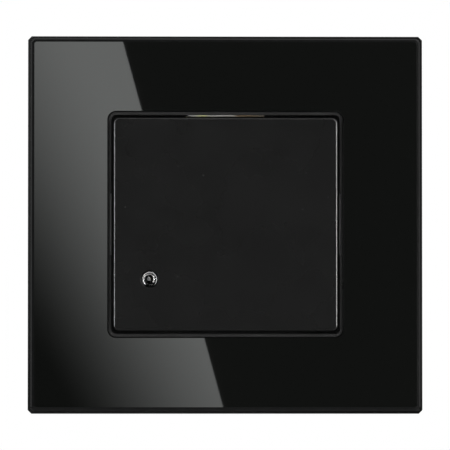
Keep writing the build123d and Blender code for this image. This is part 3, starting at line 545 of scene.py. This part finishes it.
def open_ring(centre, shift, radius, first, last, y, steps=48):
    """Points of an arc about a line along Y, from one angle to another, in mm and in degrees from
    straight up towards +X. Its middle is shifted from the centre."""
    angle = np.radians(np.linspace(first, last, steps))
    return np.stack([
        centre[0] + shift[0] + radius * np.sin(angle), np.full(steps, y),
        centre[1] + shift[1] + radius * np.cos(angle),
    ], axis=-1)


def tile(centre, size, front, back, edge):
    """Rings of a flat square plate facing -Y, its front edges cut back by edge, in mm."""
    corner = np.array([[-1, -1], [1, -1], [1, 1], [-1, 1]]) / 2
    rings = []
    for y, side in ((back, size), (front + edge, size), (front, size - 2 * edge)):
        x = centre[0] + corner[:, 0] * side
        z = centre[1] + corner[:, 1] * side
        rings.append(np.stack([x, np.full(4, y), z], axis=-1))
    return np.array(rings) * MM


def arc_band(centre, inner, outer, first, last, front, back, steps):
    """Rings of a flat curved band: a rectangle, inner to outer in radius and front to back in y,
    carried round the centre from one angle to another, in mm and degrees from straight up."""
    angle = np.radians(np.linspace(first, last, steps))
    radius = np.array([inner, outer, outer, inner])
    depth = np.array([front, front, back, back])
    x = centre[0] + np.sin(angle)[:, None] * radius
    z = centre[1] + np.cos(angle)[:, None] * radius
    y = np.broadcast_to(depth, x.shape)
    return np.stack([x, y, z], axis=-1) * MM


def folded_strip(low, high, sheet, rise, shoulder, shoulder_depth, corner, steps=48):
    """Rings of a leaf spring folded from one strip, in mm: an L section, foot upwards, is carried along X.
    The depth of its front edge is a function of x: straight, with ends rounded by quarter circles, and
    cut back past them to the shoulders, which fill the slot behind. The leaf rises a little forwards."""
    half = high[0]
    step = 0.04
    side = np.array([half + step, half + shoulder])
    x = np.concatenate([-side[::-1], np.linspace(-half, half, steps), side])
    past = np.clip(np.abs(x) - (half - corner), 0, corner)
    front = low[1] + corner - np.sqrt(corner**2 - past**2)
    front = np.where(np.abs(x) > half, high[1] - shoulder_depth, front)
    lift = rise * (high[1] - front) / (high[1] - low[1])
    bend = np.radians([-90, -60, -30, 0])
    back = high[1] - sheet
    inner = low[2] + sheet
    flat = np.ones_like(x)
    fold_y = [(back + sheet * np.cos(a)) * flat for a in bend]
    fold_z = [(inner + sheet * np.sin(a)) * flat for a in bend]
    y = np.array([front] + fold_y + [high[1] * flat, back * flat, back * flat, front]).T
    z = np.array([low[2] + lift] + fold_z + [high[2] * flat, high[2] * flat, inner * flat, inner + lift]).T
    return np.stack([np.broadcast_to(x[:, None], y.shape), y, z], axis=-1) * MM


def softbox(name, place, size, radiance, tint):
    """A flat lamp, width and height in metres, turned towards the switch."""
    lamp = bpy.data.lights.new(name, "AREA")
    lamp.shape = "RECTANGLE"
    lamp.size, lamp.size_y = size
    lamp.energy = radiance * math.pi * size[0] * size[1]
    lamp.color = linear(tint)[:3]
    box = bpy.data.objects.new(name, lamp)
    box.location = place
    aim = -box.location
    box.rotation_euler = aim.to_track_quat("-Z", "Y").to_euler()
    box.visible_camera = False
    bpy.context.scene.collection.objects.link(box)
    return box


class SwitchLooks(bpy.types.PropertyGroup):
    """Colours of the outer finishes."""
    glass: bpy.props.FloatVectorProperty(
        name="Glass", description="Black paint seen through the glass face", subtype="COLOR", size=4,
        min=0.0, max=1.0, default=linear(0x0D0E0D))
    glass_edge: bpy.props.FloatVectorProperty(
        name="Glass bevel", description="Ground and polished edge of the glass", subtype="COLOR", size=4,
        min=0.0, max=1.0, default=linear(0x060707))
    moulding: bpy.props.FloatVectorProperty(
        name="Black moulding", description="ABS of the cover and the frame", subtype="COLOR", size=4,
        min=0.0, max=1.0, default=linear(0x0C0C0C))
    housing: bpy.props.FloatVectorProperty(
        name="Housing", description="Polycarbonate of the box behind", subtype="COLOR", size=4,
        min=0.0, max=1.0, default=linear(0x4B4D50))
    zinc: bpy.props.FloatVectorProperty(
        name="Yellow zinc", description="Passivated zinc plate of the strap", subtype="COLOR", size=4,
        min=0.0, max=1.0, default=linear(0xD2C48E))
    laminate: bpy.props.FloatVectorProperty(
        name="Circuit board", description="Solder mask of the boards", subtype="COLOR", size=4,
        min=0.0, max=1.0, default=linear(0x0B4A26))


class SwitchStudio(bpy.types.PropertyGroup):
    """Camera and lights."""
    distance: bpy.props.FloatProperty(
        name="Camera distance", description="From the front of the plate to the camera",
        default=1.1, min=0.3, max=5.0, unit="LENGTH")
    pitch: bpy.props.FloatProperty(
        name="Camera pitch", description="How far the camera looks up at the plate",
        default=math.radians(2.0), subtype="ANGLE")
    yaw: bpy.props.FloatProperty(
        name="Camera yaw", description="How far the camera stands to the left of straight in front",
        default=math.radians(1.4), subtype="ANGLE")
    aim_height: bpy.props.FloatProperty(
        name="Aim height", description="Height of the point in the middle of the picture",
        default=-0.00014, unit="LENGTH")
    aim_side: bpy.props.FloatProperty(
        name="Aim to the side", description="How far right of the origin the middle of the picture is",
        default=-0.00013, unit="LENGTH")
    lens: bpy.props.FloatProperty(
        name="Focal length", description="Camera lens", default=404.8, min=20.0, max=800.0, unit="CAMERA")
    key: bpy.props.FloatProperty(
        name="Right light", description="Radiance of the right softbox", default=34.0, min=0.0, max=100.0)
    fill: bpy.props.FloatProperty(
        name="Left light", description="Radiance of the left softbox", default=22.0, min=0.0, max=100.0)


class SWITCH_OT_finishes(bpy.types.Operator):
    """Give every modelled piece the finish of the real one"""
    bl_idname = "switch.finishes"
    bl_label = "Finishes"

    def execute(self, context):
        materials = make_materials(context.scene.switch_looks)
        for finish, names in FINISHES.items():
            for name in names:
                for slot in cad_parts[name].material_slots:
                    slot.material = materials[finish]
        bare = set(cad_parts) - {name for names in FINISHES.values() for name in names}
        if bare:
            raise RuntimeError(f"no finish for {sorted(bare)}")
        return {"FINISHED"}


class SWITCH_OT_spring(bpy.types.Operator):
    """Fold the leaf spring of the top gap from one strip"""
    bl_idname = "switch.spring"
    bl_label = "Cover spring"

    def execute(self, context):
        low, high = (np.array(corner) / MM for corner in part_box("cover_spring"))
        rings = folded_strip(low, high, sheet=0.2, rise=0.07, shoulder=0.17, shoulder_depth=2.0, corner=0.5)
        spring = closed_mesh("folded_cover_spring", [rings], bpy.data.materials["yellow_zinc_spring"],
                             "switch_base")
        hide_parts("cover_spring")
        return {"FINISHED"}


class SWITCH_OT_sensor_chip(bpy.types.Operator):
    """Put the lead frame, chip and bond wire inside the clear light sensor"""
    bl_idname = "switch.sensor_chip"
    bl_label = "Light sensor chip"

    def execute(self, context):
        low, high = (np.array(corner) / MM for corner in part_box("photo_sensor"))
        centre = ((low[0] + high[0]) / 2, (low[2] + high[2]) / 2)
        seat = (centre[0] - 0.14, centre[1] + 0.06)
        tip, back = low[1], high[1]
        self.make_lens(centre, (high[0] - low[0]) / 2, tip, back)
        self.make_lead_frame(seat, tip)
        self.make_highlight_rings(centre, tip)
        self.make_chip(seat, tip)
        self.make_bond_wire(seat, tip)
        return {"FINISHED"}

    def make_lens(self, centre, body, tip, back):
        """A clear body with a narrower step in front, both with rounded rims."""
        body_step = (body, tip + 0.45, 0.2)
        front_step = (1.25, tip, 0.3)
        radii, depths = rounded_steps((body_step, front_step), back, 8)
        lens = closed_mesh("sensor_lens", [turned(centre, radii, depths, 64)],
                           bpy.data.materials["clear_cast_epoxy"], "switch_base")
        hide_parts("photo_sensor")

    def make_lead_frame(self, seat, tip):
        """The post under the chip: a stem that widens to a shallow cup. Each pair is a radius and how far
        it lies behind the tip."""
        outline = [(0.2, 4.6), (0.2, 2.3), (0.30, 1.9), (0.36, 1.5), (0.31, 1.5), (0.24, 1.6), (0.02, 1.6)]
        radii, depths = np.array(outline).T
        closed_mesh("sensor_lead_frame", [turned(seat, radii, tip + depths)],
                    bpy.data.materials["silver_plated_lead_frame"], "switch_base")

    def make_highlight_rings(self, centre, tip):
        """Open rings of thin pale wire in the front of the lens, and the sleeve under the outer one: pale
        shapes put there as a painted highlight for the bright rings of the clear lens, with thicker wire
        where those rings are brighter. Each ring has the shift of its middle, its radius, its first and
        last angle, its depth behind the tip and the radius of its wire."""
        outer = (0.0, -0.08)
        inner = (-0.14, -0.06)
        arcs = [
            (outer, 1.54, -70, 132, 0.08, 0.08), (outer, 1.56, 228, 292, 0.12, 0.045),
            ((-0.06, -0.16), 1.30, 222, 315, 0.04, 0.08),
            (inner, 1.06, 55, 132, 0.02, 0.07), (inner, 1.06, -60, 60, 0.0, 0.035),
        ]
        rings = [
            wire(open_ring(centre, shift, radius, first, last, tip + depth), thickness, (0.0, 1.0, 0.0))
            for shift, radius, first, last, depth, thickness in arcs
        ]
        # The sleeve is a pale band under the outer ring that widens its painted highlight.
        below = (centre[0], centre[1] + outer[1])
        sleeve = arc_band(below, 1.47, 1.61, -60, 133, tip + 0.08, tip + 0.6, 44)
        closed_mesh("sensor_highlight_rings", rings + [sleeve], bpy.data.materials["painted_highlight_wire"],
                    "switch_base")

    def make_chip(self, seat, tip):
        """A square of silicon in the cup."""
        side, front, back, chamfer = 0.42, tip + 1.46, tip + 1.6, 0.03
        closed_mesh("sensor_chip", [tile(seat, side, front, back, chamfer)],
                    bpy.data.materials["silicon_chip"], "switch_base")

    def make_bond_wire(self, seat, tip):
        """A hair of gold from the chip sideways, in a half sine forwards."""
        reach, rise, steps = 0.56, 0.35, 24
        swing = np.linspace(0, np.pi, steps)
        path = np.stack([
            seat[0] + 0.1 + reach * (1 - np.cos(swing)) / 2, tip + 1.5 - rise * np.sin(swing),
            np.full(steps, seat[1] + 0.08),
        ], axis=-1)
        closed_mesh("sensor_bond_wire", [wire(path, 0.03, (0.0, 0.0, 1.0))],
                    bpy.data.materials["gold_bond_wire"], "switch_base")


class SWITCH_OT_stage(bpy.types.Operator):
    """Set up the floor, the white surroundings, the softboxes and the camera"""
    bl_idname = "switch.stage"
    bl_label = "Studio"

    def execute(self, context):
        studio = context.scene.switch_studio
        self.make_world(context.scene)
        self.make_floor(context.scene)
        self.make_reflection(context.scene, studio)
        aside, before, height, size = 1.17, -0.62, 0.03, (0.3, 0.5)
        softbox("right_softbox", (aside, before, height), size, studio.key, 0xFFFDFA)
        softbox("left_softbox", (-aside, before, height), size, studio.fill, 0xFAFCFF)
        softbox("side_softbox", (1.3, 0.02, 0.52), (0.8, 0.8), 1.6, 0xFFFFFF)
        self.make_camera(context.scene, studio)
        context.scene.view_settings.view_transform = "Standard"
        return {"FINISHED"}

    def arc_of_light(self, tree, way):
        """Strength of a curved strip light above the camera, which the upper edges and corners of the
        cover mirror: narrow across, weakest over the middle and stronger on the right."""
        tilt, half_width, soft_edge = 0.47, 0.13, 0.03
        slant = add(tree, "ShaderNodeMath", {0: way.outputs["Y"], 1: tilt}, operation="ADD")
        off_arc = add(tree, "ShaderNodeMath", {0: slant.outputs["Value"]}, operation="ABSOLUTE")
        arc = add(tree, "ShaderNodeMapRange", {
            "Value": off_arc.outputs["Value"], "From Min": half_width, "From Max": soft_edge,
        }, interpolation_type="SMOOTHSTEP")
        above = add(tree, "ShaderNodeMapRange", {
            "Value": way.outputs["Z"], "From Min": 0.10, "From Max": 0.30,
        }, interpolation_type="SMOOTHSTEP")
        aside = add(tree, "ShaderNodeMath", {0: way.outputs["X"]}, operation="ABSOLUTE")
        spread = add(tree, "ShaderNodeMapRange", {
            "Value": aside.outputs["Value"],
            "From Min": 0.0, "From Max": 0.75, "To Min": 0.10, "To Max": 1.0,
        })
        stronger_right = add(tree, "ShaderNodeMapRange", {
            "Value": way.outputs["X"], "From Min": -0.4, "From Max": 0.4, "To Min": 9.0, "To Max": 17.0,
        })
        product = arc.outputs["Result"]
        for factor in (above, spread, stronger_right):
            product = add(tree, "ShaderNodeMath", {
                0: product, 1: factor.outputs["Result"],
            }, operation="MULTIPLY").outputs["Value"]
        return product

    def make_world(self, scene):
        """White to the camera; to the switch a pale room that is dark round the camera and bright behind
        the switch. Matt surfaces see an even light."""
        even_light, white = 0.42, 1.0
        world = bpy.data.worlds.new("studio")
        world.use_nodes = True
        tree = world.node_tree
        tree.nodes.clear()
        generated = add(tree, "ShaderNodeTexCoord").outputs["Generated"]
        way = add(tree, "ShaderNodeSeparateXYZ", {"Vector": generated})
        room = add(tree, "ShaderNodeMapRange", {
            "Value": way.outputs["Y"], "From Min": -0.84, "From Max": -0.30, "To Min": 0.02, "To Max": 0.34,
        }, interpolation_type="SMOOTHSTEP")
        behind = add(tree, "ShaderNodeMapRange", {
            "Value": way.outputs["Y"], "From Min": 0.45, "From Max": 0.75, "To Min": 0.0, "To Max": 0.66,
        }, interpolation_type="SMOOTHSTEP")
        seen = room.outputs["Result"]
        for part in (self.arc_of_light(tree, way), behind.outputs["Result"]):
            seen = add(tree, "ShaderNodeMath", {0: seen, 1: part}, operation="ADD").outputs["Value"]
        path = add(tree, "ShaderNodeLightPath")
        mirrored = add(tree, "ShaderNodeMix", {0: path.outputs["Is Glossy Ray"], 2: even_light, 3: seen})
        direct = add(tree, "ShaderNodeMath", {
            0: path.outputs["Is Camera Ray"], 1: path.outputs["Is Transmission Ray"],
        }, operation="MAXIMUM")
        strength = add(tree, "ShaderNodeMix", {
            0: direct.outputs["Value"], 2: mirrored.outputs[0], 3: white,
        })
        light = add(tree, "ShaderNodeBackground", {
            "Color": linear(0xFFFFFF), "Strength": strength.outputs[0],
        })
        add(tree, "ShaderNodeOutputWorld", {"Surface": light.outputs["Background"]})
        scene.world = world

    def make_floor(self, scene):
        """A plain pale disc under the switch, a little paler to the camera and greyer in the glass. It is
        clear from below, so that the switch can be seen from there."""
        radius, height, sides = 3.0, -0.3, 96
        angle = np.linspace(0, 2 * np.pi, sides, endpoint=False)
        rim = np.stack([np.cos(angle) * radius, np.sin(angle) * radius, np.full(sides, height)], axis=-1)
        mesh = bpy.data.meshes.new("floor")
        mesh.from_pydata(rim.tolist(), [], [list(range(sides))])
        material, tree, shader, place = start("matt_white_floor", linear(0xDADADA), 0.9)
        pale = shades(tree, place, 400.0, linear(0xD8D8D8), linear(0xDDDDDD))
        path = add(tree, "ShaderNodeLightPath")
        ground = add(tree, "ShaderNodeMix", {
            0: path.outputs["Is Glossy Ray"], 6: pale, 7: linear(0x6E6E6E),
        }, data_type="RGBA")
        shader.inputs["Emission Color"].default_value = linear(0xFFFFFF)
        lift = add(tree, "ShaderNodeMath", {
            0: path.outputs["Is Camera Ray"], 1: 0.14,
        }, operation="MULTIPLY")
        tree.links.new(lift.outputs["Value"], shader.inputs["Emission Strength"])
        tree.links.new(ground.outputs[2], shader.inputs["Base Color"])
        from_below = add(tree, "ShaderNodeNewGeometry").outputs["Backfacing"]
        clear = add(tree, "ShaderNodeBsdfTransparent").outputs["BSDF"]
        both_faces = add(tree, "ShaderNodeMixShader", {0: from_below, 1: shader.outputs["BSDF"], 2: clear})
        tree.links.new(both_faces.outputs["Shader"], tree.nodes["Material Output"].inputs["Surface"])
        mesh.materials.append(material)
        floor = bpy.data.objects.new("floor", mesh)
        scene.collection.objects.link(floor)

    def make_reflection(self, scene, studio):
        """The lit card far in front of the glass, seen only as its mirror image: its right edge runs
        aslant, and its light fades away from that edge and downwards."""
        far = 4.5
        spread = 1 + far / (studio.distance * math.cos(studio.pitch) * math.cos(studio.yaw))
        rise = far * math.tan(studio.pitch) / math.cos(studio.yaw)
        aside = far * math.tan(studio.yaw)
        pixel = 0.21844 * MM
        middle_x, middle_y = 225.0, 225.15
        top_x, top_y, low_x, low_y = 122.5, 40.0, 224.0, 410.0
        top = ((top_x - middle_x) * pixel, (middle_y - top_y) * pixel)
        low = ((low_x - middle_x) * pixel, (middle_y - low_y) * pixel)
        slope = (top[0] - low[0]) / (top[1] - low[1])

        def on_card(x, z):
            return (x * spread + aside, VIEW_Y - far, z * spread + rise)

        high, deep, left = 0.060, -0.060, -0.060
        corners = [
            on_card(left, high), on_card(top[0] + slope * (high - top[1]), high),
            on_card(low[0] + slope * (deep - low[1]), deep), on_card(left, deep),
        ]
        mesh = bpy.data.meshes.new("lit_card")
        mesh.from_pydata(corners, [], [[0, 1, 2, 3]])
        material = bpy.data.materials.new("lit_paper_card")
        material.use_nodes = True
        tree = material.node_tree
        tree.nodes.clear()
        along = np.array([low[0] - top[0], low[1] - top[1]])
        along /= np.linalg.norm(along)
        away = np.array([-abs(along[1]), -along[0]])
        downwards = 0.23
        fading = away + downwards * along
        place = add(tree, "ShaderNodeTexCoord").outputs["Object"]
        centred = add(tree, "ShaderNodeVectorMath", {0: place, 1: on_card(*top)}, operation="SUBTRACT")
        fall = add(tree, "ShaderNodeVectorMath", {
            0: centred.outputs["Vector"],
            1: (fading[0] / (spread * pixel), 0.0, fading[1] / (spread * pixel)),
        }, operation="DOT_PRODUCT")
        first_pixel, last_pixel, brightest = 35.0, 230.0, 2.7
        glow = add(tree, "ShaderNodeMapRange", {
            "Value": fall.outputs["Value"],
            "From Min": first_pixel, "From Max": last_pixel, "To Min": brightest, "To Max": 0.0,
        }, interpolation_type="SMOOTHSTEP")
        lit = add(tree, "ShaderNodeEmission", {
            "Color": (0.97, 1.0, 0.98, 1.0), "Strength": glow.outputs["Result"],
        })
        add(tree, "ShaderNodeOutputMaterial", {"Surface": lit.outputs["Emission"]})
        mesh.materials.append(material)
        card = bpy.data.objects.new("lit_card", mesh)
        scene.collection.objects.link(card)
        for ray in ("camera", "diffuse", "shadow", "transmission"):
            setattr(card, f"visible_{ray}", False)

    def make_camera(self, scene, studio):
        """A long lens, a little below the middle of the plate."""
        camera = bpy.data.cameras.new("camera")
        camera.lens = studio.lens
        camera.sensor_width = 36.0
        camera.clip_end = 50.0
        holder = bpy.data.objects.new("camera", camera)
        holder.location = (
            studio.aim_side - studio.distance * math.cos(studio.pitch) * math.sin(studio.yaw),
            VIEW_Y - studio.distance * math.cos(studio.pitch) * math.cos(studio.yaw),
            studio.aim_height - studio.distance * math.sin(studio.pitch))
        holder.rotation_euler = (math.pi / 2 + studio.pitch, 0.0, -studio.yaw)
        scene.collection.objects.link(holder)
        scene.camera = holder


class SWITCH_PT_panel(bpy.types.Panel):
    """Lists the steps that dress the switch."""
    bl_label = "Motion sensor switch"
    bl_idname = "SWITCH_PT_panel"
    bl_space_type = "VIEW_3D"
    bl_region_type = "UI"
    bl_category = "Switch"

    def draw(self, context):
        for group in (context.scene.switch_looks, context.scene.switch_studio):
            for name in group.__annotations__:
                self.layout.prop(group, name)
        for step in STEPS:
            self.layout.operator(step.bl_idname)


STEPS = [SWITCH_OT_finishes, SWITCH_OT_spring, SWITCH_OT_sensor_chip, SWITCH_OT_stage]
CLASSES = [SwitchLooks, SwitchStudio, SWITCH_PT_panel] + STEPS


def register():
    """Add the classes and the two groups of values."""
    for cls in CLASSES:
        bpy.utils.register_class(cls)
    bpy.types.Scene.switch_looks = bpy.props.PointerProperty(type=SwitchLooks)
    bpy.types.Scene.switch_studio = bpy.props.PointerProperty(type=SwitchStudio)


def unregister():
    """Take the groups and the classes away again."""
    del bpy.types.Scene.switch_looks
    del bpy.types.Scene.switch_studio
    for cls in reversed(CLASSES):
        bpy.utils.unregister_class(cls)


def main():
    """Dress the switch step by step."""
    register()
    bpy.ops.switch.finishes()
    bpy.ops.switch.spring()
    bpy.ops.switch.sensor_chip()
    bpy.ops.switch.stage()


if __name__ == "__main__":
    main()
